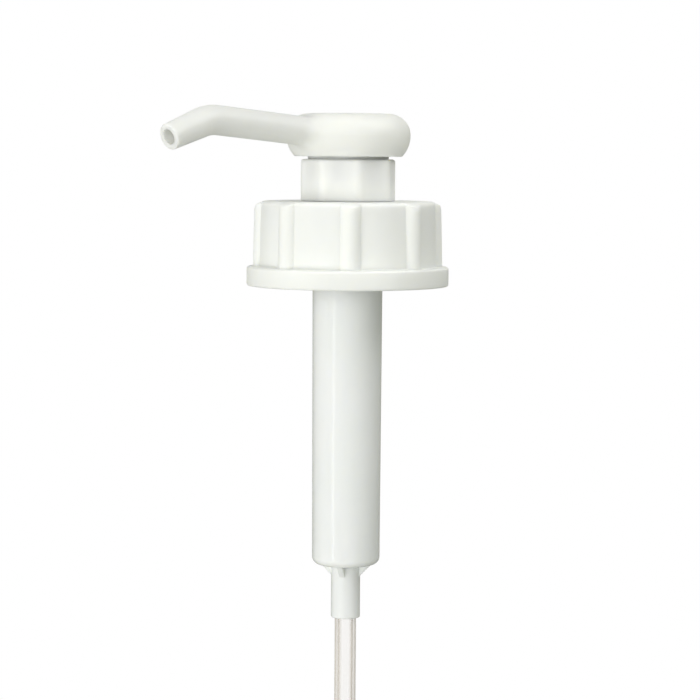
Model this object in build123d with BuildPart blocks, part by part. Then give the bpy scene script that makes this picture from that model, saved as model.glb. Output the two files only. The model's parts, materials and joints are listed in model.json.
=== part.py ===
from build123d import *
import os
from math import cos, pi, sqrt

# Condiment pump dispenser: a one-ounce piston pump that screws onto the wide neck of a sauce container.
#
# Millimetres, +Z up. The origin is on the pump's axis, in the plane of the gasket's underside, which
# rests on the rim of the container's neck. The spout points towards -X. The pump is drawn with its
# head down and locked, so its spring is compressed.

# ---- driving dimensions ----------------------------------------------------------------------------

# fits and clearances
SLIDE_FIT = 0.05
PRESS_GAP = 0.03
STACK_GAP = 0.1
CUT_PAST = 1.0

# closure cap
FLANGE_R = 37.5
FLANGE_THICK = 7.1
FLANGE_EDGE = 0.7
CAP_TOP = 6.3
CAP_BOTTOM = -25.0
CAP_PLATE = 2.1
CAP_WALL_TOP_R = 32.3
CAP_WALL_FOOT_R = 32.9
CAP_CORNER = 1.7
CAP_BORE_R = 30.3
CAP_INNER_CORNER = 1.2
CAP_MOUTH_CHAMFER = 1.0
CAP_HOLE_R = 15.4
RIB_COUNT = 8
RIB_R = 3.45
RIB_TOP = 5.5
RIB_SHOULDER = 2.0
RIB_CREST_TOP_R = 34.6
RIB_CREST_BOTTOM_R = 35.2
RIB_PHASE = -131.2
NECK_THREAD_DEPTH = 1.3
NECK_THREAD_PITCH = 6.0
NECK_THREAD_TURNS = 2.25
NECK_THREAD_START = 5.0
NECK_THREAD_ROOT = 2.6
NECK_THREAD_CREST = 1.0

# gasket, barrel and dip tube
GASKET_THICK = 1.6
GASKET_BORE_R = 20.0
BORE_R = 11.0
BARREL_TOP_R = 13.1
BARREL_BOTTOM_R = 12.65
BARREL_BOTTOM = -129.4
BARREL_CORNER = 2.8
BARREL_FLOOR = 3.6
BARREL_FLANGE_R = 28.4
BARREL_FLANGE_THICK = 2.5
BARREL_NECK_TOP = 11.0
VENT_R = 0.9
NIPPLE_R = 5.45
NIPPLE_BOTTOM = -149.7
NIPPLE_EDGE = 0.6
FIN_COUNT = 4
FIN_R = 9.8
FIN_HEIGHT = 4.4
FIN_THICK = 2.0
FIN_PHASE = -147.0
TUBE_R = 4.0
TUBE_BORE_R = 2.8
TUBE_BOTTOM = -250.0
TUBE_SHOULDER = -133.0

# small threads: on the barrel's neck, in the nut, and on the head's boss
SMALL_PITCH = 2.5
SMALL_DEPTH = 0.75
SMALL_ROOT = 1.0
SMALL_CREST = 0.5
BARREL_THREAD_TURNS = 1.75
NUT_LOCK_TURNS = 1.5
HEAD_LOCK_TURNS = 2.0

# locking nut
NUT_SIDES = 8
NUT_APOTHEM = 16.75
NUT_TOP = 21.8
NUT_CORNER = 4.5
NUT_EDGE = 1.1
NUT_PHASE = -121.0
NUT_SKIRT_R = 15.1
NUT_LOWER_R = 14.0
NUT_RECESS_R = 15.5
NUT_RECESS_FLOOR = 13.6
NUT_SHELF_HOLE_R = 9.0
NUT_ABOVE_CAP = 0.15

# head: thumb pad, boss and stem socket
HEAD_TOP = 38.6
HEAD_WIDEST = 30.6
HEAD_BOTTOM = 22.8
HEAD_R = 23.0
HEAD_FLAT_R = 15.0
HEAD_BOTTOM_R = 19.9
HEAD_LOWER_EDGE = 1.0
HEAD_UNDERCUT_IN_R = 15.8
HEAD_UNDERCUT_OUT_R = 18.0
HEAD_UNDERCUT_TOP = 25.9
BOSS_R = 15.0
BOSS_STEP = 20.7
BOSS_CORE_R = 13.7
BOSS_BORE_R = 12.0
BOSS_BOTTOM = 13.9
BOSS_EDGE = 0.5
SOCKET_WALL_R = 8.2
SOCKET_BOTTOM = 14.2
CORE_TOP = 25.6
CHAMBER_TOP = 35.0
CHAMBER_CORNER = 1.5

# spout
SPOUT_R = 5.3
SPOUT_TIP_R = 4.7
SPOUT_BORE_R = 2.75
SPOUT_AXIS_HEIGHT = 31.8
SPOUT_ROOT_X = -12.0
SPOUT_BEND_X = -67.0
SPOUT_BEND_Z = 35.65
SPOUT_TIP_X = -85.0
SPOUT_TIP_Z = 29.2
SPOUT_BEND_R = 18.0
SPOUT_BLEND = 6.0
SPOUT_TIP_EDGE = 0.5

# stem and its ring
STEM_R = 6.0
STEM_BORE_R = 4.0
STEM_TOP = 27.0
STEM_COLLAR_R = 8.5
STEM_COLLAR_THICK = 2.0
STEM_EDGE = 0.5
RING_GROOVE_BOTTOM = 23.0
RING_WIRE_R = 0.5
RING_SIDE_GAP = 0.1
RING_SEAT_GAP = 0.02

# piston, carrier and stroke
STROKE = 76.0
GUIDE_STOP_GAP = 0.2
PISTON_BOTTOM = -96.4
PISTON_HEIGHT = 10.0
SEAL_LIP_TIP_R = 10.1
SEAL_LIP_ROOT_R = 9.4
SEAL_HUB_R = 8.4
SEAL_LOWER_GROOVE = 3.5
SEAL_UPPER_GROOVE = 2.0
SEAL_RELIEF = 0.5
NOSE_R = 5.9
NOSE_BOTTOM = -103.0
CARRIER_FLANGE_R = 9.6
CARRIER_FLANGE_THICK = 2.0
SPIGOT_TOP = -86.0

# valves
SUCTION_BALL_R = 4.7625
SUCTION_HOLE_R = 3.2
SUCTION_CONE = 1.8
DISCHARGE_BALL_R = 3.175
DISCHARGE_HOLE_R = 2.0
DISCHARGE_CONE = 1.6
BALL_LIFT = 3.0
BALL_GAP = 0.1
CAGE_BASE = 1.5
CAGE_LEG_COUNT = 4
CAGE_LEG_THICK = 2.2
CAGE_LEG_R = 7.1
CAGE_BORE_R = 5.4
CAGE_CROWN = 1.6
STOP_HEIGHT = 4.0
STOP_WALL = 0.6
STOP_RIB_COUNT = 3
STOP_RIB_THICK = 0.9
STOP_RIB_IN_R = 1.2

# return spring and its upper seat
WIRE_R = 0.75
SPRING_MEAN_R = 8.25
SPRING_TURNS = 11.5
SPRING_GAP = 0.03
SEAT_THICK = 1.9
SEAT_R = 9.4
SEAT_LIP_R = 7.3
SEAT_LIP_TAPER = 0.3
SEAT_LIP = 2.0

# guide sleeve, wiper and retainer
GUIDE_FLANGE_R = 13.0
GUIDE_FLANGE_THICK = 1.4
GUIDE_EDGE = 0.6
WIPER_R = 8.6
WIPER_BOTTOM = 8.4
WIPER_TOP = 10.9
WIPER_GROOVE = 1.2
RETAINER_BORE_R = 6.6

# ---- heights and radii worked out from the above ---------------------------------------------------

cap_plate_under = CAP_TOP - CAP_PLATE
flange_top = CAP_BOTTOM + FLANGE_THICK
flange_face = GASKET_THICK + BARREL_FLANGE_THICK
barrel_inside = BARREL_BOTTOM + BARREL_FLOOR
nut_bottom = CAP_TOP + NUT_ABOVE_CAP
piston_top = PISTON_BOTTOM + PISTON_HEIGHT
collar_bottom = piston_top + 2 * STACK_GAP
collar_top = collar_bottom + STEM_COLLAR_THICK
guide_bottom = collar_top + STROKE + GUIDE_STOP_GAP
guide_top = BARREL_NECK_TOP + GUIDE_FLANGE_THICK
guide_bore_r = STEM_R + SLIDE_FIT
carrier_flange_top = PISTON_BOTTOM - STACK_GAP
carrier_flange_bottom = carrier_flange_top - CARRIER_FLANGE_THICK
seat_top = carrier_flange_bottom - STACK_GAP
seat_bottom = seat_top - SEAT_THICK
spring_bottom = barrel_inside + CAGE_BASE
suction_hole_top = barrel_inside - SUCTION_CONE
discharge_hole_top = SPIGOT_TOP - DISCHARGE_CONE


def outline(*points):
    """Fill the closed outline through these (radius, height) points."""
    Polygon(*points, align=None)


def ball_centre(ball_r, hole_r, hole_top):
    """Height of a ball that rests in a 45 degree seat whose narrow end is at hole_top."""
    contact = ball_r * sqrt(0.5)
    return hole_top + (contact - hole_r) + contact + BALL_GAP


def thread_ridge(root_r, depth, pitch, bottom, turns, root_width, crest_width):
    """A right-hand helical ridge. It stands out from root_r by depth, or in if depth is negative."""
    sink = -0.25 if depth > 0 else 0.25
    with BuildPart() as ridge:
        with BuildLine() as helix:
            Helix(pitch=pitch, height=pitch * turns, radius=root_r, center=(0, 0, bottom))
        start = Plane(origin=helix.line @ 0, x_dir=(1, 0, 0), z_dir=helix.line % 0)
        with BuildSketch(start):
            outline(
                (sink, -root_width / 2),
                (depth, -crest_width / 2),
                (depth, crest_width / 2),
                (sink, root_width / 2),
            )
        sweep(is_frenet=True)
    return ridge.part


def small_thread(root_r, depth, bottom, turns):
    """A ridge of the small thread that the barrel, nut and head share."""
    return thread_ridge(root_r, depth, SMALL_PITCH, bottom, turns, SMALL_ROOT, SMALL_CREST)


def save(piece, name):
    """Label a finished piece and write its STEP file."""
    piece.part.label = name
    export_step(piece.part, f"parts/{name}.step")


os.makedirs("parts", exist_ok=True)

# ---- closure cap: ribbed skirt, wide flange, neck thread inside ------------------------------------

neck_thread = thread_ridge(
    CAP_BORE_R, -NECK_THREAD_DEPTH, NECK_THREAD_PITCH, CAP_BOTTOM + NECK_THREAD_START,
    NECK_THREAD_TURNS, NECK_THREAD_ROOT, NECK_THREAD_CREST,
)

# each rib is a leaning round bar, half sunk in the wall
with BuildPart() as rib_bars:
    for k in range(RIB_COUNT):
        turned = Plane.XY.rotated((0, 0, RIB_PHASE + k * 360 / RIB_COUNT))
        for height, crest_r in ((flange_top, RIB_CREST_BOTTOM_R), (RIB_TOP, RIB_CREST_TOP_R)):
            with BuildSketch(turned.offset(height)):
                with Locations((crest_r - RIB_R, 0)):
                    Circle(RIB_R)
        loft()

# the ribs share a rounded shoulder at the top
with BuildPart() as ribs:
    with BuildSketch(Plane.XZ):
        outline((0, RIB_TOP), (RIB_CREST_TOP_R, RIB_TOP), (RIB_CREST_BOTTOM_R, flange_top), (0, flange_top))
    revolve(axis=Axis.Z)
    shoulder = ribs.edges().filter_by(GeomType.CIRCLE).sort_by(Axis.Z)[-1]
    fillet(shoulder, radius=RIB_SHOULDER)
    add(rib_bars.part, mode=Mode.INTERSECT)

with BuildPart() as closure_cap:
    with BuildSketch(Plane.XZ):
        outline(
            (0, CAP_TOP),
            (CAP_WALL_TOP_R, CAP_TOP),
            (CAP_WALL_FOOT_R, flange_top),
            (FLANGE_R, flange_top),
            (FLANGE_R, CAP_BOTTOM),
            (0, CAP_BOTTOM),
        )
    revolve(axis=Axis.Z)
    rims = closure_cap.edges().filter_by(GeomType.CIRCLE).sort_by(Axis.Z)
    fillet(rims[-1], radius=CAP_CORNER)
    fillet(rims.filter_by(lambda rim: rim.radius > FLANGE_R - 0.01), radius=FLANGE_EDGE)
    add(ribs.part)
    with BuildSketch(Plane.XZ):
        outline(
            (0, CAP_TOP + CUT_PAST),
            (CAP_HOLE_R, CAP_TOP + CUT_PAST),
            (CAP_HOLE_R, cap_plate_under),
            (CAP_BORE_R - CAP_INNER_CORNER, cap_plate_under),
            (CAP_BORE_R, cap_plate_under - CAP_INNER_CORNER),
            (CAP_BORE_R, CAP_BOTTOM + CAP_MOUTH_CHAMFER),
            (CAP_BORE_R + CAP_MOUTH_CHAMFER, CAP_BOTTOM),
            (CAP_BORE_R + CAP_MOUTH_CHAMFER, CAP_BOTTOM - CUT_PAST),
            (0, CAP_BOTTOM - CUT_PAST),
        )
    revolve(axis=Axis.Z, mode=Mode.SUBTRACT)
    add(neck_thread)
save(closure_cap, "closure_cap")

# ---- gasket between the container's rim and the barrel's flange ------------------------------------

with BuildPart() as neck_gasket:
    with BuildSketch():
        Circle(BARREL_FLANGE_R)
        Circle(GASKET_BORE_R, mode=Mode.SUBTRACT)
    extrude(amount=GASKET_THICK)
save(neck_gasket, "neck_gasket")

# ---- barrel: flange, threaded neck, bore, suction seat, nipple and its fins ------------------------

barrel_thread = small_thread(BARREL_TOP_R, SMALL_DEPTH, flange_face + 1.4, BARREL_THREAD_TURNS)

with BuildPart() as barrel:
    with BuildSketch(Plane.XZ):
        outline(
            (0, BARREL_NECK_TOP),
            (BARREL_TOP_R, BARREL_NECK_TOP),
            (BARREL_TOP_R, flange_face),
            (BARREL_FLANGE_R, flange_face),
            (BARREL_FLANGE_R, GASKET_THICK),
            (BARREL_TOP_R, GASKET_THICK),
            (BARREL_BOTTOM_R, BARREL_BOTTOM),
            (0, BARREL_BOTTOM),
        )
    revolve(axis=Axis.Z)
    bottom_rim = barrel.edges().filter_by(GeomType.CIRCLE).sort_by(Axis.Z)[0]
    fillet(bottom_rim, radius=BARREL_CORNER)

    with BuildSketch(Plane.XY.offset(NIPPLE_BOTTOM)):
        Circle(NIPPLE_R)
    extrude(amount=BARREL_BOTTOM - NIPPLE_BOTTOM + CUT_PAST)
    nipple_rim = barrel.edges().filter_by(GeomType.CIRCLE).sort_by(Axis.Z)[0]
    fillet(nipple_rim, radius=NIPPLE_EDGE)

    # the fins are rooted one cut's depth inside the barrel's floor and the nipple
    for k in range(FIN_COUNT):
        with BuildSketch(Plane.XZ.rotated((0, 0, FIN_PHASE + k * 360 / FIN_COUNT))):
            outline(
                (NIPPLE_R - CUT_PAST, BARREL_BOTTOM + CUT_PAST),
                (FIN_R, BARREL_BOTTOM + CUT_PAST),
                (FIN_R, BARREL_BOTTOM),
                (NIPPLE_R, BARREL_BOTTOM - FIN_HEIGHT),
                (NIPPLE_R - CUT_PAST, BARREL_BOTTOM - FIN_HEIGHT),
            )
        extrude(amount=FIN_THICK / 2, both=True)

    with BuildSketch(Plane.XZ):
        outline(
            (0, BARREL_NECK_TOP + CUT_PAST),
            (BORE_R, BARREL_NECK_TOP + CUT_PAST),
            (BORE_R, barrel_inside),
            (SUCTION_HOLE_R + SUCTION_CONE, barrel_inside),
            (SUCTION_HOLE_R, suction_hole_top),
            (SUCTION_HOLE_R, TUBE_SHOULDER),
            (TUBE_R, TUBE_SHOULDER),
            (TUBE_R, NIPPLE_BOTTOM - CUT_PAST),
            (0, NIPPLE_BOTTOM - CUT_PAST),
        )
    revolve(axis=Axis.Z, mode=Mode.SUBTRACT)

    # the vent lets air into the container through the wall, just under the guide sleeve
    with BuildSketch(Plane.XZ.offset(BORE_R - CUT_PAST)):
        with Locations((0, guide_bottom - VENT_R - 0.3)):
            Circle(VENT_R)
    extrude(amount=BARREL_TOP_R - BORE_R + 2 * CUT_PAST, mode=Mode.SUBTRACT)
    add(barrel_thread)
save(barrel, "barrel")

# ---- dip tube, its top squeezed into the nipple ----------------------------------------------------

with BuildPart() as dip_tube:
    with BuildSketch(Plane.XZ):
        outline(
            (TUBE_BORE_R, TUBE_BOTTOM),
            (TUBE_R, TUBE_BOTTOM),
            (TUBE_R, NIPPLE_BOTTOM - 5 * STACK_GAP),
            (TUBE_R - PRESS_GAP, NIPPLE_BOTTOM - 3 * STACK_GAP),
            (TUBE_R - PRESS_GAP, TUBE_SHOULDER),
            (TUBE_BORE_R, TUBE_SHOULDER),
        )
    revolve(axis=Axis.Z)
save(dip_tube, "dip_tube")

# ---- suction valve: steel ball, and its cage, which also seats the spring --------------------------

suction_ball_z = ball_centre(SUCTION_BALL_R, SUCTION_HOLE_R, suction_hole_top)
with BuildPart() as suction_ball:
    with Locations((0, 0, suction_ball_z)):
        Sphere(SUCTION_BALL_R)
save(suction_ball, "suction_ball")

cage_crown_bottom = suction_ball_z + SUCTION_BALL_R + BALL_LIFT + BALL_GAP
with BuildPart() as suction_ball_cage:
    with BuildSketch(Plane.XY.offset(barrel_inside)):
        Circle(BORE_R - PRESS_GAP)
        Circle(CAGE_BORE_R, mode=Mode.SUBTRACT)
    extrude(amount=CAGE_BASE)
    # four legs stand on the base, and a cross joins them over the ball
    with BuildSketch(Plane.XY.offset(barrel_inside)):
        with PolarLocations((CAGE_LEG_R + CAGE_BORE_R) / 2, CAGE_LEG_COUNT):
            Rectangle(CAGE_LEG_R - CAGE_BORE_R, CAGE_LEG_THICK)
    extrude(amount=cage_crown_bottom - barrel_inside + CAGE_CROWN)
    with BuildSketch(Plane.XY.offset(cage_crown_bottom)):
        Rectangle(2 * CAGE_LEG_R, CAGE_LEG_THICK)
        Rectangle(CAGE_LEG_THICK, 2 * CAGE_LEG_R)
    extrude(amount=CAGE_CROWN)
save(suction_ball_cage, "suction_ball_cage")

# ---- return spring and its upper seat --------------------------------------------------------------

with BuildPart() as spring_top_seat:
    with BuildSketch(Plane.XZ):
        outline(
            (NOSE_R + SLIDE_FIT, seat_top),
            (SEAT_R, seat_top),
            (SEAT_R, seat_bottom),
            (SEAT_LIP_R, seat_bottom),
            (SEAT_LIP_R - SEAT_LIP_TAPER, seat_bottom - SEAT_LIP),
            (NOSE_R + SLIDE_FIT, seat_bottom - SEAT_LIP),
        )
    revolve(axis=Axis.Z)
save(spring_top_seat, "spring_top_seat")

coil_start = spring_bottom + WIRE_R + SPRING_GAP
coil_rise = seat_bottom - WIRE_R - SPRING_GAP - coil_start
with BuildPart() as return_spring:
    with BuildLine() as coil:
        Helix(
            pitch=coil_rise / SPRING_TURNS, height=coil_rise,
            radius=SPRING_MEAN_R, center=(0, 0, coil_start),
        )
    with BuildSketch(Plane(origin=coil.line @ 0, x_dir=(1, 0, 0), z_dir=coil.line % 0)):
        Circle(WIRE_R)
    sweep(is_frenet=True)
save(return_spring, "return_spring")

# ---- piston: seal, and the carrier that plugs into the stem ----------------------------------------

with BuildPart() as piston_seal:
    seal_r = BORE_R - SLIDE_FIT
    lower_groove = PISTON_BOTTOM + SEAL_LOWER_GROOVE
    upper_groove = piston_top - SEAL_UPPER_GROOVE
    with BuildSketch(Plane.XZ):
        outline(
            (guide_bore_r, PISTON_BOTTOM),
            (SEAL_HUB_R, PISTON_BOTTOM),
            (SEAL_HUB_R, lower_groove),
            (SEAL_LIP_ROOT_R, lower_groove),
            (SEAL_LIP_TIP_R, PISTON_BOTTOM),
            (seal_r, PISTON_BOTTOM),
            (seal_r, PISTON_BOTTOM + SEAL_UPPER_GROOVE),
            (seal_r - SEAL_RELIEF, lower_groove),
            (seal_r - SEAL_RELIEF, upper_groove),
            (seal_r, upper_groove + SEAL_RELIEF),
            (seal_r, piston_top),
            (SEAL_LIP_TIP_R, piston_top),
            (SEAL_LIP_ROOT_R, upper_groove),
            (SEAL_HUB_R, upper_groove),
            (SEAL_HUB_R, piston_top),
            (guide_bore_r, piston_top),
        )
    revolve(axis=Axis.Z)
save(piston_seal, "piston_seal")

with BuildPart() as piston_carrier:
    with BuildSketch(Plane.XZ):
        outline(
            (DISCHARGE_HOLE_R, NOSE_BOTTOM),
            (NOSE_R - GUIDE_EDGE, NOSE_BOTTOM),
            (NOSE_R, NOSE_BOTTOM + GUIDE_EDGE),
            (NOSE_R, carrier_flange_bottom),
            (CARRIER_FLANGE_R, carrier_flange_bottom),
            (CARRIER_FLANGE_R, carrier_flange_top),
            (STEM_BORE_R - PRESS_GAP, carrier_flange_top),
            (STEM_BORE_R - PRESS_GAP, SPIGOT_TOP),
            (DISCHARGE_HOLE_R + DISCHARGE_CONE, SPIGOT_TOP),
            (DISCHARGE_HOLE_R, discharge_hole_top),
        )
    revolve(axis=Axis.Z)
save(piston_carrier, "piston_carrier")

# ---- discharge valve inside the stem ---------------------------------------------------------------

discharge_ball_z = ball_centre(DISCHARGE_BALL_R, DISCHARGE_HOLE_R, discharge_hole_top)
with BuildPart() as discharge_ball:
    with Locations((0, 0, discharge_ball_z)):
        Sphere(DISCHARGE_BALL_R)
save(discharge_ball, "discharge_ball")

stop_r = STEM_BORE_R - PRESS_GAP
stop_mid_r = stop_r - STOP_WALL / 2
with BuildPart() as discharge_ball_stop:
    with BuildSketch(Plane.XY.offset(discharge_ball_z + DISCHARGE_BALL_R + BALL_LIFT + BALL_GAP)):
        Circle(stop_r)
        Circle(stop_r - STOP_WALL, mode=Mode.SUBTRACT)
        with PolarLocations((stop_mid_r + STOP_RIB_IN_R) / 2, STOP_RIB_COUNT):
            Rectangle(stop_mid_r - STOP_RIB_IN_R, STOP_RIB_THICK)
    extrude(amount=STOP_HEIGHT)
save(discharge_ball_stop, "discharge_ball_stop")

# ---- stem: hollow rod from the piston to the head, and its ring ------------------------------------

ring_groove_r = STEM_R - 2 * RING_WIRE_R
ring_groove_top = RING_GROOVE_BOTTOM + 2 * (RING_WIRE_R + RING_SIDE_GAP)
with BuildPart() as stem:
    with BuildSketch(Plane.XZ):
        outline(
            (STEM_BORE_R, PISTON_BOTTOM),
            (STEM_R, PISTON_BOTTOM),
            (STEM_R, collar_bottom),
            (STEM_COLLAR_R, collar_bottom),
            (STEM_COLLAR_R, collar_top),
            (STEM_R, collar_top),
            (STEM_R, RING_GROOVE_BOTTOM),
            (ring_groove_r, RING_GROOVE_BOTTOM),
            (ring_groove_r, ring_groove_top),
            (STEM_R, ring_groove_top),
            (STEM_R, STEM_TOP - STEM_EDGE),
            (STEM_R - STEM_EDGE, STEM_TOP),
            (STEM_BORE_R, STEM_TOP),
        )
    revolve(axis=Axis.Z)
save(stem, "stem")

with BuildPart() as stem_o_ring:
    ring_mean_r = ring_groove_r + RING_WIRE_R + RING_SEAT_GAP
    with BuildSketch(Plane.XZ):
        with Locations((ring_mean_r, (RING_GROOVE_BOTTOM + ring_groove_top) / 2)):
            Circle(RING_WIRE_R)
    revolve(axis=Axis.Z)
save(stem_o_ring, "stem_o_ring")

# ---- guide sleeve in the barrel's mouth, its wiper and the wiper's retainer ------------------------

with BuildPart() as guide_sleeve:
    with BuildSketch(Plane.XZ):
        outline(
            (guide_bore_r, guide_bottom),
            (BORE_R - GUIDE_EDGE, guide_bottom),
            (BORE_R - PRESS_GAP, guide_bottom + GUIDE_EDGE),
            (BORE_R - PRESS_GAP, BARREL_NECK_TOP),
            (GUIDE_FLANGE_R, BARREL_NECK_TOP),
            (GUIDE_FLANGE_R, guide_top),
            (WIPER_R, guide_top),
            (WIPER_R, WIPER_BOTTOM),
            (guide_bore_r, WIPER_BOTTOM),
        )
    revolve(axis=Axis.Z)
save(guide_sleeve, "guide_sleeve")

wiper_r = WIPER_R - PRESS_GAP
with BuildPart() as stem_wiper:
    with BuildSketch(Plane.XZ):
        outline(
            (guide_bore_r, WIPER_BOTTOM),
            (wiper_r, WIPER_BOTTOM),
            (wiper_r, WIPER_TOP),
            (wiper_r - WIPER_GROOVE, WIPER_TOP),
            (RETAINER_BORE_R + 0.3, WIPER_TOP - WIPER_GROOVE),
            (RETAINER_BORE_R, WIPER_TOP - WIPER_GROOVE),
            (guide_bore_r + 2 * STACK_GAP, WIPER_TOP),
            (guide_bore_r, WIPER_TOP),
        )
    revolve(axis=Axis.Z)
save(stem_wiper, "stem_wiper")

with BuildPart() as wiper_retainer:
    with BuildSketch(Plane.XY.offset(WIPER_TOP)):
        Circle(wiper_r)
        Circle(RETAINER_BORE_R, mode=Mode.SUBTRACT)
    extrude(amount=guide_top - WIPER_TOP)
save(wiper_retainer, "wiper_retainer")

# ---- locking nut: octagon with a skirt through the cap and a threaded recess for the head ----------

# half a pitch from the barrel's ridge, so that the two are in mesh
nut_lower_thread = small_thread(
    NUT_LOWER_R, -SMALL_DEPTH, flange_face + 1.4 + SMALL_PITCH / 2, BARREL_THREAD_TURNS
)
nut_lock_thread = small_thread(NUT_RECESS_R, -SMALL_DEPTH, NUT_RECESS_FLOOR + 2.4, NUT_LOCK_TURNS)

with BuildPart() as locking_nut:
    with BuildSketch(Plane.XY.offset(nut_bottom)) as octagon:
        RegularPolygon(NUT_APOTHEM / cos(pi / NUT_SIDES), NUT_SIDES, rotation=NUT_PHASE)
        fillet(octagon.vertices(), radius=NUT_CORNER)
    extrude(amount=NUT_TOP - nut_bottom)
    top_rim = locking_nut.faces().sort_by(Axis.Z)[-1].outer_wire().edges()
    fillet(top_rim, radius=NUT_EDGE)
    with BuildSketch(Plane.XY.offset(flange_face)):
        Circle(NUT_SKIRT_R)
    extrude(amount=nut_bottom - flange_face + CUT_PAST)
    with BuildSketch(Plane.XZ):
        outline(
            (0, NUT_TOP + CUT_PAST),
            (NUT_RECESS_R, NUT_TOP + CUT_PAST),
            (NUT_RECESS_R, NUT_RECESS_FLOOR),
            (NUT_SHELF_HOLE_R, NUT_RECESS_FLOOR),
            (NUT_SHELF_HOLE_R, guide_top),
            (NUT_LOWER_R, guide_top),
            (NUT_LOWER_R, flange_face - CUT_PAST),
            (0, flange_face - CUT_PAST),
        )
    revolve(axis=Axis.Z, mode=Mode.SUBTRACT)
    add(nut_lower_thread)
    add(nut_lock_thread)
save(locking_nut, "locking_nut")

# ---- head: round thumb pad, lock boss, stem socket and bent spout ----------------------------------

head_lock_thread = small_thread(BOSS_CORE_R, SMALL_DEPTH, BOSS_BOTTOM + 1.2, HEAD_LOCK_TURNS)
socket_r = STEM_R + PRESS_GAP
socket_top = STEM_TOP + STACK_GAP
boss_top = NUT_TOP + 2 * STACK_GAP

# the pad's side is two arcs that meet upright at its widest: a quarter turn above, a shallower one below
rim_drop = HEAD_WIDEST - HEAD_BOTTOM
rim_inset = HEAD_R - HEAD_BOTTOM_R
lower_rim_r = (rim_inset ** 2 + rim_drop ** 2) / (2 * rim_inset)

spout_rise = (SPOUT_AXIS_HEIGHT - SPOUT_BEND_Z) / SPOUT_BEND_X
spout_tip = (SPOUT_TIP_X, 0, SPOUT_TIP_Z)
spout_bend = (SPOUT_BEND_X, 0, SPOUT_BEND_Z)
with BuildLine() as spout_line:
    FilletPolyline(
        spout_tip, spout_bend, (SPOUT_ROOT_X, 0, SPOUT_AXIS_HEIGHT + spout_rise * SPOUT_ROOT_X),
        radius=SPOUT_BEND_R,
    )
nozzle, bend, arm = spout_line.edges().sort_by(Axis.X)
with BuildLine() as channel_line:
    FilletPolyline(spout_tip, spout_bend, (0, 0, SPOUT_AXIS_HEIGHT), radius=SPOUT_BEND_R)

with BuildPart() as actuator_head:
    with BuildSketch(Plane.XZ):
        with BuildLine():
            Polyline((HEAD_BOTTOM_R, HEAD_BOTTOM), (0, HEAD_BOTTOM), (0, HEAD_TOP), (HEAD_FLAT_R, HEAD_TOP))
            CenterArc((HEAD_FLAT_R, HEAD_WIDEST), HEAD_TOP - HEAD_WIDEST, 0, 90)
            RadiusArc((HEAD_R, HEAD_WIDEST), (HEAD_BOTTOM_R, HEAD_BOTTOM), lower_rim_r)
        make_face()
    revolve(axis=Axis.Z)
    lower_rim = actuator_head.edges().filter_by(GeomType.CIRCLE).sort_by(Axis.Z)[0]
    fillet(lower_rim, radius=HEAD_LOWER_EDGE)

    with BuildSketch(Plane(origin=nozzle @ 1, z_dir=nozzle % 1)):
        Circle(SPOUT_R)
    sweep(path=Wire([bend, arm]))
    spout_root = actuator_head.edges().filter_by(GeomType.BSPLINE)
    fillet(spout_root, radius=SPOUT_BLEND)
    with Locations(Plane(origin=nozzle @ 0, z_dir=nozzle % 0)):
        Cone(SPOUT_TIP_R, SPOUT_R, nozzle.length, align=(Align.CENTER, Align.CENTER, Align.MIN))
    tip_rim = actuator_head.edges().filter_by(GeomType.CIRCLE).sort_by(Axis.X)[0]
    fillet(tip_rim, radius=SPOUT_TIP_EDGE)

    # hollow the underside between the rim and the boss, then add the boss below it
    with BuildSketch(Plane.XZ):
        outline(
            (HEAD_UNDERCUT_IN_R, HEAD_BOTTOM - CUT_PAST),
            (HEAD_UNDERCUT_OUT_R, HEAD_BOTTOM - CUT_PAST),
            (HEAD_UNDERCUT_OUT_R, HEAD_UNDERCUT_TOP),
            (HEAD_UNDERCUT_IN_R, HEAD_UNDERCUT_TOP),
        )
    revolve(axis=Axis.Z, mode=Mode.SUBTRACT)
    with BuildSketch(Plane.XZ):
        outline(
            (0, HEAD_BOTTOM + CUT_PAST),
            (BOSS_R, HEAD_BOTTOM + CUT_PAST),
            (BOSS_R, boss_top),
            (BOSS_CORE_R, BOSS_STEP),
            (BOSS_CORE_R, BOSS_BOTTOM + BOSS_EDGE),
            (BOSS_CORE_R - BOSS_EDGE, BOSS_BOTTOM),
            (0, BOSS_BOTTOM),
        )
    revolve(axis=Axis.Z)
    add(head_lock_thread)

    # core out the boss around the stem's socket, bore the socket, and cut the channel to the spout's tip
    with BuildSketch(Plane.XZ):
        outline(
            (SOCKET_WALL_R, BOSS_BOTTOM - CUT_PAST),
            (BOSS_BORE_R, BOSS_BOTTOM - CUT_PAST),
            (BOSS_BORE_R, CORE_TOP),
            (SOCKET_WALL_R, CORE_TOP),
        )
        outline(
            (0, BOSS_BOTTOM - CUT_PAST),
            (SOCKET_WALL_R, BOSS_BOTTOM - CUT_PAST),
            (SOCKET_WALL_R, SOCKET_BOTTOM),
            (socket_r, SOCKET_BOTTOM),
            (socket_r, socket_top),
            (STEM_BORE_R, socket_top),
            (STEM_BORE_R, CHAMBER_TOP - CHAMBER_CORNER),
            (STEM_BORE_R - CHAMBER_CORNER, CHAMBER_TOP),
            (0, CHAMBER_TOP),
        )
    revolve(axis=Axis.Z, mode=Mode.SUBTRACT)
    with BuildSketch(Plane(origin=channel_line.line @ 0, z_dir=channel_line.line % 0)):
        Circle(SPOUT_BORE_R)
    sweep(path=channel_line.line, mode=Mode.SUBTRACT)
save(actuator_head, "actuator_head")
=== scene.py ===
import json
from math import cos, pi, radians, sin, sqrt

import bpy
from mathutils import Matrix, Vector


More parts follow.
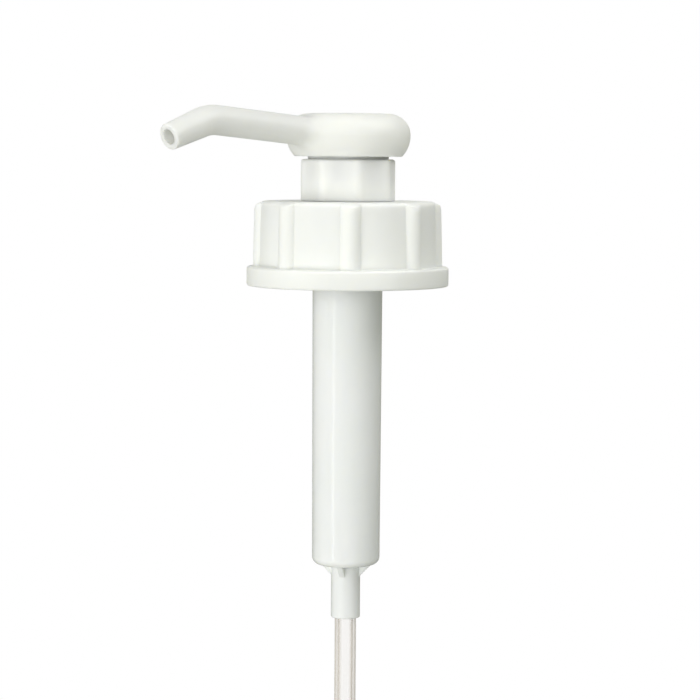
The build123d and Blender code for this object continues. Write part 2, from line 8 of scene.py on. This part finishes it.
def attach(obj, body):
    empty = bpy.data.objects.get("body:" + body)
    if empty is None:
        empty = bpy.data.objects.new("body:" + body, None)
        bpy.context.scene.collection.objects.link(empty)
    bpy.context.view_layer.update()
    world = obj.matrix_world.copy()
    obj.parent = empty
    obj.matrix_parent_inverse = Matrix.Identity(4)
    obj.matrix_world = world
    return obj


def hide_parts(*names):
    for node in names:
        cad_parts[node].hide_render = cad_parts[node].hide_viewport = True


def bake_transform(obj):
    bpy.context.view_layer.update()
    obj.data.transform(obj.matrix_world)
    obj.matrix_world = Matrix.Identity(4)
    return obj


# Condiment pump dispenser: the looks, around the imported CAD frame. Metres, in the frame's own axes.

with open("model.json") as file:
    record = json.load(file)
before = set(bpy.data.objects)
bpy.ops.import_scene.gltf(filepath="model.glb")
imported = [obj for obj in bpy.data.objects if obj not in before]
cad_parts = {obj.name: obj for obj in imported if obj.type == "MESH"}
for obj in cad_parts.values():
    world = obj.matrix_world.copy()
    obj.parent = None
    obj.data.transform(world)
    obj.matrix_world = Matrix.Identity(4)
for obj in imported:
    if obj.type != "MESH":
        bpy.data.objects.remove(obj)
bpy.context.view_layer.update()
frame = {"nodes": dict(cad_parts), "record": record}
nodes = frame["nodes"]
scene = bpy.context.scene

MM = 0.001


# ---- camera ----------------------------------------------------------------------------------------

# Angles in degrees, distance in metres. The azimuth is measured from -Y towards +X.
AZIMUTH = -43.0
DISTANCE = 0.891
EYE_HEIGHT = 24.2 * MM
PITCH_DOWN = 4.7
YAW = -0.07
ROLL = 0.37
LENS = 123.4


def make_camera():
    """A camera in front of the pump, level with the head, with the spout coming out towards it."""
    data = bpy.data.cameras.new("camera")
    data.lens = LENS
    data.clip_start = 0.05
    data.clip_end = 50.0
    camera = bpy.data.objects.new("camera", data)
    a = radians(AZIMUTH)
    camera.location = (DISTANCE * sin(a), -DISTANCE * cos(a), EYE_HEIGHT)
    turn = Matrix.Rotation(radians(AZIMUTH + YAW), 4, "Z")
    tip = Matrix.Rotation(radians(90 - PITCH_DOWN), 4, "X")
    roll = Matrix.Rotation(radians(ROLL), 4, "Z")
    camera.rotation_euler = (turn @ tip @ roll).to_euler()
    scene.collection.objects.link(camera)
    scene.camera = camera


make_camera()

# ---- node trees ------------------------------------------------------------------------------------


def add_node(tree, kind, **values):
    """Add a shader node. A value goes to the input or, failing that, the property of that name."""
    made = tree.nodes.new(kind)
    for key, value in values.items():
        if hasattr(made, key):
            setattr(made, key, value)
        else:
            made.inputs[key.replace("_", " ")].default_value = value
    return made


def wire(tree, source, output, target, socket):
    """Link one node's output to another's input."""
    tree.links.new(source.outputs[output], target.inputs[socket])


def fresh_tree(owner):
    """Turn nodes on for a material or world and empty its tree."""
    owner.use_nodes = True
    owner.node_tree.nodes.clear()
    return owner.node_tree


def object_noise(tree, size, detail=2.0, stretch=(1, 1, 1)):
    """Noise over the object's own coordinates, with features of about this size in metres."""
    place = add_node(tree, "ShaderNodeTexCoord")
    mapping = add_node(tree, "ShaderNodeMapping")
    mapping.inputs["Scale"].default_value = stretch
    noise = add_node(tree, "ShaderNodeTexNoise", Scale=1.0 / size, Detail=detail)
    wire(tree, place, "Object", mapping, "Vector")
    wire(tree, mapping, "Vector", noise, "Vector")
    return noise


def spread(tree, source, output, low, high, out_low, out_high):
    """Map a value's useful range onto another."""
    ranged = add_node(tree, "ShaderNodeMapRange")
    ranged.inputs["From Min"].default_value = low
    ranged.inputs["From Max"].default_value = high
    ranged.inputs["To Min"].default_value = out_low
    ranged.inputs["To Max"].default_value = out_high
    wire(tree, source, output, ranged, "Value")
    return ranged


# ---- studio ----------------------------------------------------------------------------------------

scene.view_settings.view_transform = "Standard"

FLOOR_Z = -0.2505
AMBIENT_UP = (0.52, 0.525, 0.5, 1)
AMBIENT_SIDE = (0.34, 0.35, 0.305, 1)
AMBIENT_DOWN = (0.38, 0.385, 0.345, 1)
BAND_DOWN, BAND_SIDE, BAND_UP = 0.3, 0.54, 0.85
SURROUND_R, FLOOR_R = 12.0, 2.0


def make_world():
    """A dim room, lightest above. It fills the shadows and shows in the gloss."""
    world = bpy.data.worlds.new("studio")
    scene.world = world
    tree = fresh_tree(world)
    place = add_node(tree, "ShaderNodeTexCoord")
    split = add_node(tree, "ShaderNodeSeparateXYZ")
    wire(tree, place, "Generated", split, "Vector")
    height = spread(tree, split, "Z", -1.0, 1.0, 0.0, 1.0)
    ramp = add_node(tree, "ShaderNodeValToRGB")
    wire(tree, height, "Result", ramp, "Fac")
    bands = ramp.color_ramp.elements
    bands[0].position, bands[0].color = BAND_DOWN, AMBIENT_DOWN
    bands[1].position, bands[1].color = BAND_UP, AMBIENT_UP
    middle = bands.new(BAND_SIDE)
    middle.color = AMBIENT_SIDE
    glow = add_node(tree, "ShaderNodeBackground", Strength=1.0)
    wire(tree, ramp, "Color", glow, "Color")
    out = add_node(tree, "ShaderNodeOutputWorld")
    wire(tree, glow, "Background", out, "Surface")


def glowing(name, one_sided=False):
    """A plain white emitting material for the stage. One-sided, it can't be seen from behind."""
    material = bpy.data.materials.new(name)
    tree = fresh_tree(material)
    light = add_node(tree, "ShaderNodeEmission", Color=(1, 1, 1, 1), Strength=1.0)
    out = add_node(tree, "ShaderNodeOutputMaterial")
    if not one_sided:
        wire(tree, light, "Emission", out, "Surface")
        return material
    side = add_node(tree, "ShaderNodeNewGeometry")
    gone = add_node(tree, "ShaderNodeBsdfTransparent")
    mix = add_node(tree, "ShaderNodeMixShader")
    wire(tree, side, "Backfacing", mix, "Fac")
    tree.links.new(light.outputs["Emission"], mix.inputs[1])
    tree.links.new(gone.outputs["BSDF"], mix.inputs[2])
    wire(tree, mix, "Shader", out, "Surface")
    return material


def seen_only(obj, material):
    """Let the camera see a stage piece, also through clear plastic, but let it light nothing."""
    obj.data.materials.append(material)
    obj.visible_diffuse = False
    obj.visible_glossy = False
    obj.visible_shadow = False
    obj.visible_volume_scatter = False


def make_backdrop():
    """A plain white surround, and under the tube's end a white floor that hides nothing from below."""
    bpy.ops.mesh.primitive_ico_sphere_add(subdivisions=4, radius=SURROUND_R)
    surround = bpy.context.object
    surround.name = "surround"
    seen_only(surround, glowing("surround_white"))
    bpy.ops.mesh.primitive_circle_add(
        vertices=64, radius=FLOOR_R, fill_type="NGON", location=(0, 0, FLOOR_Z)
    )
    floor = bpy.context.object
    floor.name = "floor"
    seen_only(floor, glowing("floor_white", one_sided=True))


def view_direction(azimuth, elevation):
    """Unit vector from the object towards a place at this azimuth from the camera, and this elevation."""
    a, e = radians(AZIMUTH + azimuth), radians(elevation)
    return Vector((sin(a) * cos(e), -cos(a) * cos(e), sin(e)))


def softbox(name, azimuth, elevation, distance, width, height, power, aim=(0, 0, 0), in_gloss=True):
    """An area light at an azimuth from the camera (positive is to its right), aimed at a point."""
    data = bpy.data.lights.new(name, "AREA")
    data.shape = "RECTANGLE"
    data.size, data.size_y = width, height
    data.energy = power
    light = bpy.data.objects.new(name, data)
    away = view_direction(azimuth, elevation)
    light.location = Vector(aim) + away * distance
    light.rotation_euler = away.to_track_quat("Z", "Y").to_euler()
    light.visible_glossy = in_gloss
    scene.collection.objects.link(light)


make_world()
make_backdrop()

# Azimuth and elevation in degrees, then distance, width and height in metres, then power in watts.
softbox("strip", -44, 2, 1.5, 0.13, 1.8, 1.3)
softbox("key", -32, -4, 1.6, 1.9, 1.2, 20.4, in_gloss=False)
softbox("top", 0, 88, 0.8, 0.6, 0.6, 1.1, in_gloss=False)
softbox("back", 172, 6, 1.6, 1.4, 1.2, 9.0, in_gloss=False)
softbox("right_top", 72, 45, 0.45, 0.3, 0.3, 0.7, aim=(0, 0, 0.01))

# ---- materials -------------------------------------------------------------------------------------

PLASTIC_IOR = 1.49
SCATTER_RGB = (1.0, 0.98, 0.9)
COAT_ROUGHNESS = 0.08
CLOUD_SIZE, SMEAR_SIZE, STEEL_MARK_SIZE = 0.02, 0.006, 0.0008
SKIN_STRENGTH, TUBE_SKIN_STRENGTH, SKIN_HEIGHT = 0.25, 0.05, 0.00002


def plastic(
    name, color, roughness, grain=0.0012, mottle=0.02, scatter=0.12, scatter_depth=0.0025, coat=0.0
):
    """Moulded plastic: faint cloudiness in the colour, uneven gloss, and the fine skin of the mould.

    Sizes and depths are in metres.
    """
    material = bpy.data.materials.new(name)
    tree = fresh_tree(material)
    shader = add_node(tree, "ShaderNodeBsdfPrincipled")
    shader.inputs["IOR"].default_value = PLASTIC_IOR
    shader.inputs["Subsurface Weight"].default_value = scatter
    shader.inputs["Subsurface Radius"].default_value = SCATTER_RGB
    shader.inputs["Subsurface Scale"].default_value = scatter_depth
    shader.inputs["Coat Weight"].default_value = coat
    shader.inputs["Coat Roughness"].default_value = COAT_ROUGHNESS

    cloud = object_noise(tree, CLOUD_SIZE, detail=3.0, stretch=(1, 1, 0.5))
    tone = spread(tree, cloud, "Fac", 0.35, 0.65, 0.0, 1.0)
    mix = add_node(tree, "ShaderNodeMix", data_type="RGBA")
    mix.inputs["A"].default_value = (*[c * (1 - mottle) for c in color], 1)
    mix.inputs["B"].default_value = (*[min(1.0, c * (1 + mottle)) for c in color], 1)
    tree.links.new(tone.outputs["Result"], mix.inputs["Factor"])
    tree.links.new(mix.outputs[2], shader.inputs["Base Color"])

    smear = object_noise(tree, SMEAR_SIZE, detail=4.0)
    gloss = spread(tree, smear, "Fac", 0.3, 0.7, roughness - 0.05, roughness + 0.06)
    wire(tree, gloss, "Result", shader, "Roughness")

    skin = object_noise(tree, grain, detail=3.0)
    bump = add_node(tree, "ShaderNodeBump", Strength=SKIN_STRENGTH, Distance=SKIN_HEIGHT)
    wire(tree, skin, "Fac", bump, "Height")
    wire(tree, bump, "Normal", shader, "Normal")
    out = add_node(tree, "ShaderNodeOutputMaterial")
    wire(tree, shader, "BSDF", out, "Surface")
    return material


def tube_material():
    """Natural polyethylene tube: nearly clear face on, milkier where its wall is seen at a flat angle."""
    material = plastic("tube_natural", (0.73, 0.67, 0.6), 0.2, grain=0.02, mottle=0.01, scatter=0.0)
    tree = material.node_tree
    shader = next(n for n in tree.nodes if n.type == "BSDF_PRINCIPLED")
    skin = next(n for n in tree.nodes if n.type == "BUMP")
    skin.inputs["Strength"].default_value = TUBE_SKIN_STRENGTH
    edge = add_node(tree, "ShaderNodeLayerWeight", Blend=0.5)
    milk = spread(tree, edge, "Facing", 0.12, 0.65, 0.06, 0.6)
    wire(tree, milk, "Result", shader, "Alpha")
    return material


def steel(name, color, roughness):
    """Stainless steel with fine polishing marks."""
    material = bpy.data.materials.new(name)
    tree = fresh_tree(material)
    shader = add_node(tree, "ShaderNodeBsdfPrincipled", Metallic=1.0)
    marks = object_noise(tree, STEEL_MARK_SIZE, detail=3.0)
    gloss = spread(tree, marks, "Fac", 0.3, 0.7, roughness * 0.7, roughness * 1.4)
    wire(tree, gloss, "Result", shader, "Roughness")
    tint = spread(tree, marks, "Fac", 0.2, 0.8, 0.94, 1.0)
    mix = add_node(tree, "ShaderNodeMix", data_type="RGBA", blend_type="MULTIPLY")
    mix.inputs["Factor"].default_value = 1.0
    mix.inputs["A"].default_value = (*color, 1)
    tree.links.new(tint.outputs["Result"], mix.inputs["B"])
    tree.links.new(mix.outputs[2], shader.inputs["Base Color"])
    out = add_node(tree, "ShaderNodeOutputMaterial")
    wire(tree, shader, "BSDF", out, "Surface")
    return material


materials = {
    "head_plastic": plastic("head_white", (0.855, 0.86, 0.835), 0.38, scatter=1.0, scatter_depth=0.0035),
    "cap_plastic": plastic("cap_white", (0.88, 0.89, 0.87), 0.42, scatter=1.0),
    "nut_plastic": plastic("nut_white", (0.895, 0.9, 0.875), 0.4, scatter=1.0),
    "barrel_plastic": plastic("barrel_white", (0.9, 0.925, 0.912), 0.18, scatter=0.7, coat=0.8),
    "tube_plastic": tube_material(),
    "inner_plastic": plastic("inner_white", (0.84, 0.84, 0.815), 0.35),
    "seal_rubber": plastic("seal_silicone", (0.62, 0.62, 0.6), 0.55, mottle=0.04, scatter=0.3),
    "gasket_foam": plastic("gasket_foam", (0.8, 0.8, 0.77), 0.85, grain=0.0005, mottle=0.05),
    "spring_steel": steel("spring_steel", (0.62, 0.62, 0.63), 0.28),
    "ball_steel": steel("ball_steel", (0.7, 0.7, 0.71), 0.08),
}
slot_of = {part["node"]: part["material_slot"] for part in frame["record"]["subparts"]}
for name, node in nodes.items():
    node.data.materials.clear()
    node.data.materials.append(materials[slot_of[name]])

# ---- mesh helpers ----------------------------------------------------------------------------------


def new_piece(name, verts, faces, material, crease=35):
    """A smooth-shaded mesh object, with sharp edges where faces meet at over crease degrees."""
    mesh = bpy.data.meshes.new(name)
    mesh.from_pydata([tuple(c * MM for c in v) for v in verts], [], faces)
    mesh.validate()
    mesh.shade_smooth()
    mesh.set_sharp_from_angle(angle=radians(crease))
    mesh.materials.append(material)
    piece = bpy.data.objects.new(name, mesh)
    scene.collection.objects.link(piece)
    return piece


def wrap_rings(ring_count, ring_size, closed):
    """Quads that join rings of points, one after the other, and the last to the first if closed."""
    faces = []
    for i in range(ring_count if closed else ring_count - 1):
        low, high = i * ring_size, (i + 1) % ring_count * ring_size
        for j in range(ring_size):
            k = (j + 1) % ring_size
            faces.append((low + j, low + k, high + k, high + j))
    return faces


def smooth_max(a, b, width):
    """The greater of two lengths, with the corner between them filled over about this width."""
    h = min(1.0, max(0.0, 0.5 + 0.5 * (a - b) / width))
    return b + (a - b) * h + width * h * (1 - h)


def arc(centre_r, centre_z, radius, start, end, steps):
    """Points (r, z) on an arc between two angles in degrees, ends included."""
    span = [radians(start + (end - start) * i / steps) for i in range(steps + 1)]
    return [(centre_r + radius * cos(t), centre_z + radius * sin(t)) for t in span]


def line(start, end, steps):
    """Points (r, z) on a line, without its ends."""
    return [
        (start[0] + (end[0] - start[0]) * i / steps, start[1] + (end[1] - start[1]) * i / steps)
        for i in range(1, steps)
    ]


# ---- closure cap: one skin with soft ribs outside and the thread inside (millimetres) --------------

CAP_TOP, CAP_UNDER, CAP_BOTTOM, FLANGE_TOP = 6.3, 4.2, -25.0, -17.9
WALL_TOP_R, WALL_FOOT_R, FLANGE_R, CAP_BORE_R, CAP_HOLE_R = 32.3, 32.9, 37.5, 30.3, 15.4

# Radii of the eased edges and fillets.
HOLE_TOP_EDGE, HOLE_UNDER_EDGE, TOP_EDGE, WALL_FILLET, FLANGE_EDGE = 0.35, 0.3, 1.7, 0.8, 0.8
BORE_MOUTH_EDGE, BORE_END_FILLET = 1.0, 1.2

# A rib is a bar of radius RIB_R; its crest leans with the wall and its top ends in a round shoulder.
RIB_COUNT, RIB_R, RIB_TOP, RIB_PHASE = 8, 3.45, 5.5, -131.2
CREST_TOP_R, CREST_FOOT_R, SHOULDER, RIB_FOOT = 34.6, 35.2, 2.0, 2.3
SHOULDER_FILL, SHOULDER_DROP = 0.5, 3

PITCH, THREAD_START, THREAD_TURNS, THREAD_DEPTH = 6.0, -20.0, 2.25, 1.3
THREAD_HALF_WIDTH, THREAD_FLANK, RUN_OUT = 1.3, 0.8, 0.06

# The mesh is finer over the ribs' flanks, the shoulders and the thread. The wall's rows come down to
# WALL_END above the flange, and FOOT_ROWS are the heights of the rows below that.
FLANK_FROM, FLANK_TO, FLANK_STEP, ROUND_STEP = 2.2, 5.0, 0.28, 0.62
MESH_R, FINE_WALL_FROM, WALL_FINE, WALL_COARSE = 32.5, 2.2, 0.25, 0.8
THREAD_FROM, THREAD_TO, BORE_FINE, BORE_COARSE = -22.0, -4.0, 0.2, 0.8
WALL_END, FOOT_ROWS, ROW_GAP = 1.2, (0.95, 0.75, 0.55, 0.38, 0.24, 0.13, 0.05, 0.0), 0.1


def wall_radius(z):
    """Radius of the skirt between its ribs, with a fillet into the flange."""
    r = WALL_TOP_R + (WALL_FOOT_R - WALL_TOP_R) * (CAP_TOP - z) / (CAP_TOP - FLANGE_TOP)
    rise = min(WALL_FILLET, max(0.0, WALL_FILLET - (z - FLANGE_TOP)))
    return r + WALL_FILLET - sqrt(max(0.0, WALL_FILLET ** 2 - rise * rise))


def rib_radius(z, phi):
    """Radius of a rib's surface at an angle phi from its middle; far inside the wall beside the rib."""
    crest = CREST_TOP_R + (CREST_FOOT_R - CREST_TOP_R) * (RIB_TOP - z) / (RIB_TOP - FLANGE_TOP)
    middle = crest - RIB_R
    off = middle * sin(phi)
    if abs(off) >= RIB_R:
        return 0.0
    bar = middle * cos(phi) + sqrt(RIB_R ** 2 - off ** 2)
    over = z - (RIB_TOP - SHOULDER)
    if over <= 0:
        return bar
    if over < SHOULDER:
        drop = SHOULDER - sqrt(max(0.0, SHOULDER ** 2 - over ** 2))
    else:
        drop = SHOULDER + SHOULDER_DROP * (over - SHOULDER)
    return -smooth_max(-bar, drop - crest, SHOULDER_FILL)


def thread_height(z, angle):
    """How far the neck thread stands in from the bore, with run-out at both ends."""
    turn = (z - THREAD_START) / PITCH - angle / (2 * pi)
    nearest = round(turn)
    best = 0.0
    for k in (nearest - 1, nearest, nearest + 1):
        along = k + angle / (2 * pi)
        if along < 0 or along > THREAD_TURNS:
            continue
        off = abs(z - THREAD_START - PITCH * along)
        flank = min(1.0, max(0.0, (THREAD_HALF_WIDTH - off) / THREAD_FLANK))
        ends = min(1.0, along / RUN_OUT, (THREAD_TURNS - along) / RUN_OUT)
        best = max(best, THREAD_DEPTH * flank * flank * (3 - 2 * flank) * max(0.0, ends))
    return best


def cap_angles():
    """Angles round the cap as (angle, angle from the nearest rib), closer together over the flanks."""
    half = pi / RIB_COUNT
    steps = [0.0]
    while steps[-1] < half:
        x = steps[-1] * MESH_R
        steps.append(steps[-1] + (FLANK_STEP if FLANK_FROM < x < FLANK_TO else ROUND_STEP) / MESH_R)
    scale = half / steps[-1]
    one_side = [t * scale for t in steps]
    sector = [-t for t in reversed(one_side[1:-1])] + one_side[:-1] + [half]
    return [(radians(RIB_PHASE) + 2 * half * k + phi, phi) for k in range(RIB_COUNT) for phi in sector]


def cap_outline():
    """The cap's section as (r, z, part) points, from the rim of its top hole round to the same rim."""
    points = []

    def plain(more):
        points.extend((r, z, "plain") for r, z in more)

    top_edge_r = WALL_TOP_R - TOP_EDGE
    plain(arc(CAP_HOLE_R + HOLE_TOP_EDGE, CAP_TOP - HOLE_TOP_EDGE, HOLE_TOP_EDGE, 180, 90, 4))
    plain(line((CAP_HOLE_R + HOLE_TOP_EDGE, CAP_TOP), (top_edge_r, CAP_TOP), 6))
    points += [(r, z, "corner") for r, z in arc(top_edge_r, CAP_TOP - TOP_EDGE, TOP_EDGE, 90, 0, 22)]
    z, wall_end = CAP_TOP - TOP_EDGE, FLANGE_TOP + WALL_END
    while z > wall_end + ROW_GAP:
        z -= WALL_FINE if z > FINE_WALL_FROM else WALL_COARSE
        points.append((0, max(z, wall_end), "wall"))
    points += [(0, FLANGE_TOP + h, "wall") for h in FOOT_ROWS]
    points += [(t, FLANGE_TOP, "ledge") for t in (0.25, 0.5, 0.75)]

    edge_r, mouth_r = FLANGE_R - FLANGE_EDGE, CAP_BORE_R + BORE_MOUTH_EDGE
    plain(arc(edge_r, FLANGE_TOP - FLANGE_EDGE, FLANGE_EDGE, 90, 0, 8))
    plain(line((FLANGE_R, FLANGE_TOP - FLANGE_EDGE), (FLANGE_R, CAP_BOTTOM + FLANGE_EDGE), 6))
    plain(arc(edge_r, CAP_BOTTOM + FLANGE_EDGE, FLANGE_EDGE, 0, -90, 8))
    plain(line((edge_r, CAP_BOTTOM), (mouth_r, CAP_BOTTOM), 4))
    plain(arc(mouth_r, CAP_BOTTOM + BORE_MOUTH_EDGE, BORE_MOUTH_EDGE, -90, -180, 6))
    z, bore_end = CAP_BOTTOM + BORE_MOUTH_EDGE, CAP_UNDER - BORE_END_FILLET
    while z < bore_end - ROW_GAP:
        z = min(z + (BORE_FINE if THREAD_FROM < z < THREAD_TO else BORE_COARSE), bore_end)
        points.append((CAP_BORE_R, z, "bore"))

    end_r, rim_r = CAP_BORE_R - BORE_END_FILLET, CAP_HOLE_R + HOLE_UNDER_EDGE
    plain(arc(end_r, bore_end, BORE_END_FILLET, 0, 90, 8)[1:])
    plain(line((end_r, CAP_UNDER), (rim_r, CAP_UNDER), 5))
    plain(arc(rim_r, CAP_UNDER + HOLE_UNDER_EDGE, HOLE_UNDER_EDGE, -90, -180, 4))
    return points


def make_cap():
    """Sweep the section round the axis, with ribs, fillets and thread as changes of radius."""
    angles = cap_angles()
    outline = cap_outline()
    foot_r = wall_radius(FLANGE_TOP)
    foot = [smooth_max(foot_r, rib_radius(FLANGE_TOP, phi), RIB_FOOT) for angle, phi in angles]
    verts = []
    for r, z, part in outline:
        for (angle, phi), edge in zip(angles, foot):
            if part == "corner":
                radius = smooth_max(r, rib_radius(z, phi), RIB_FOOT)
            elif part == "wall":
                radius = smooth_max(wall_radius(z), rib_radius(z, phi), RIB_FOOT)
            elif part == "ledge":
                radius = edge + (FLANGE_R - FLANGE_EDGE - edge) * r
            elif part == "bore":
                radius = r - thread_height(z, angle % (2 * pi))
            else:
                radius = r
            verts.append((radius * cos(angle), radius * sin(angle), z))
    faces = wrap_rings(len(outline), len(angles), closed=True)
    cap = new_piece("cap_shell", verts, faces, materials["cap_plastic"])
    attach(cap, "closure")
    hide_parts("closure_cap")


make_cap()

# ---- dip tube: a smoother skin than the CAD mesh, for its clear wall (millimetres) -----------------

TUBE_R, TUBE_BORE_R, TUBE_TOP, TUBE_BOTTOM = 4.0, 2.8, -133.0, -250.0
TUBE_EDGE, TUBE_SIDES = 0.2, 96


def make_tube():
    """A straight tube with its two ends cut square and slightly eased."""
    section = [
        (TUBE_R, TUBE_BOTTOM + TUBE_EDGE),
        (TUBE_R, TUBE_TOP - TUBE_EDGE),
        (TUBE_R - TUBE_EDGE, TUBE_TOP),
        (TUBE_BORE_R + TUBE_EDGE, TUBE_TOP),
        (TUBE_BORE_R, TUBE_TOP - TUBE_EDGE),
        (TUBE_BORE_R, TUBE_BOTTOM + TUBE_EDGE),
        (TUBE_BORE_R + TUBE_EDGE, TUBE_BOTTOM),
        (TUBE_R - TUBE_EDGE, TUBE_BOTTOM),
    ]
    turns = [2 * pi * j / TUBE_SIDES for j in range(TUBE_SIDES)]
    verts = [(r * cos(turn), r * sin(turn), z) for r, z in section for turn in turns]
    faces = wrap_rings(len(section), TUBE_SIDES, closed=True)
    tube = new_piece("clear_tube", verts, faces, materials["tube_plastic"])
    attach(tube, "pump_body")
    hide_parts("dip_tube")


make_tube()

# ---- return spring: a coil between the barrel's floor and the piston (millimetres) -----------------

WIRE_R, COIL_R, COIL_BOTTOM, COIL_TOP, COIL_TURNS = 0.75, 8.25, -123.52, -101.28, 11.5
STEPS_PER_TURN, WIRE_SIDES = 40, 12


def make_spring():
    """A round wire bent to a helix, its ends cut square."""
    steps = int(COIL_TURNS * STEPS_PER_TURN)
    turns = [2 * pi * j / WIRE_SIDES for j in range(WIRE_SIDES)]
    verts = []
    for i in range(steps + 1):
        t = i / steps
        angle = 2 * pi * COIL_TURNS * t
        out = Vector((cos(angle), sin(angle), 0))
        centre = out * COIL_R + Vector((0, 0, COIL_BOTTOM + (COIL_TOP - COIL_BOTTOM) * t))
        for turn in turns:
            verts.append(tuple(centre + out * (WIRE_R * cos(turn)) + Vector((0, 0, WIRE_R * sin(turn)))))
    faces = wrap_rings(steps + 1, WIRE_SIDES, closed=False)
    faces.append(tuple(reversed(range(WIRE_SIDES))))
    faces.append(tuple(range(steps * WIRE_SIDES, (steps + 1) * WIRE_SIDES)))
    spring = new_piece("coil_spring", verts, faces, materials["spring_steel"], crease=60)
    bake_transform(spring)
    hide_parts("return_spring")


make_spring()
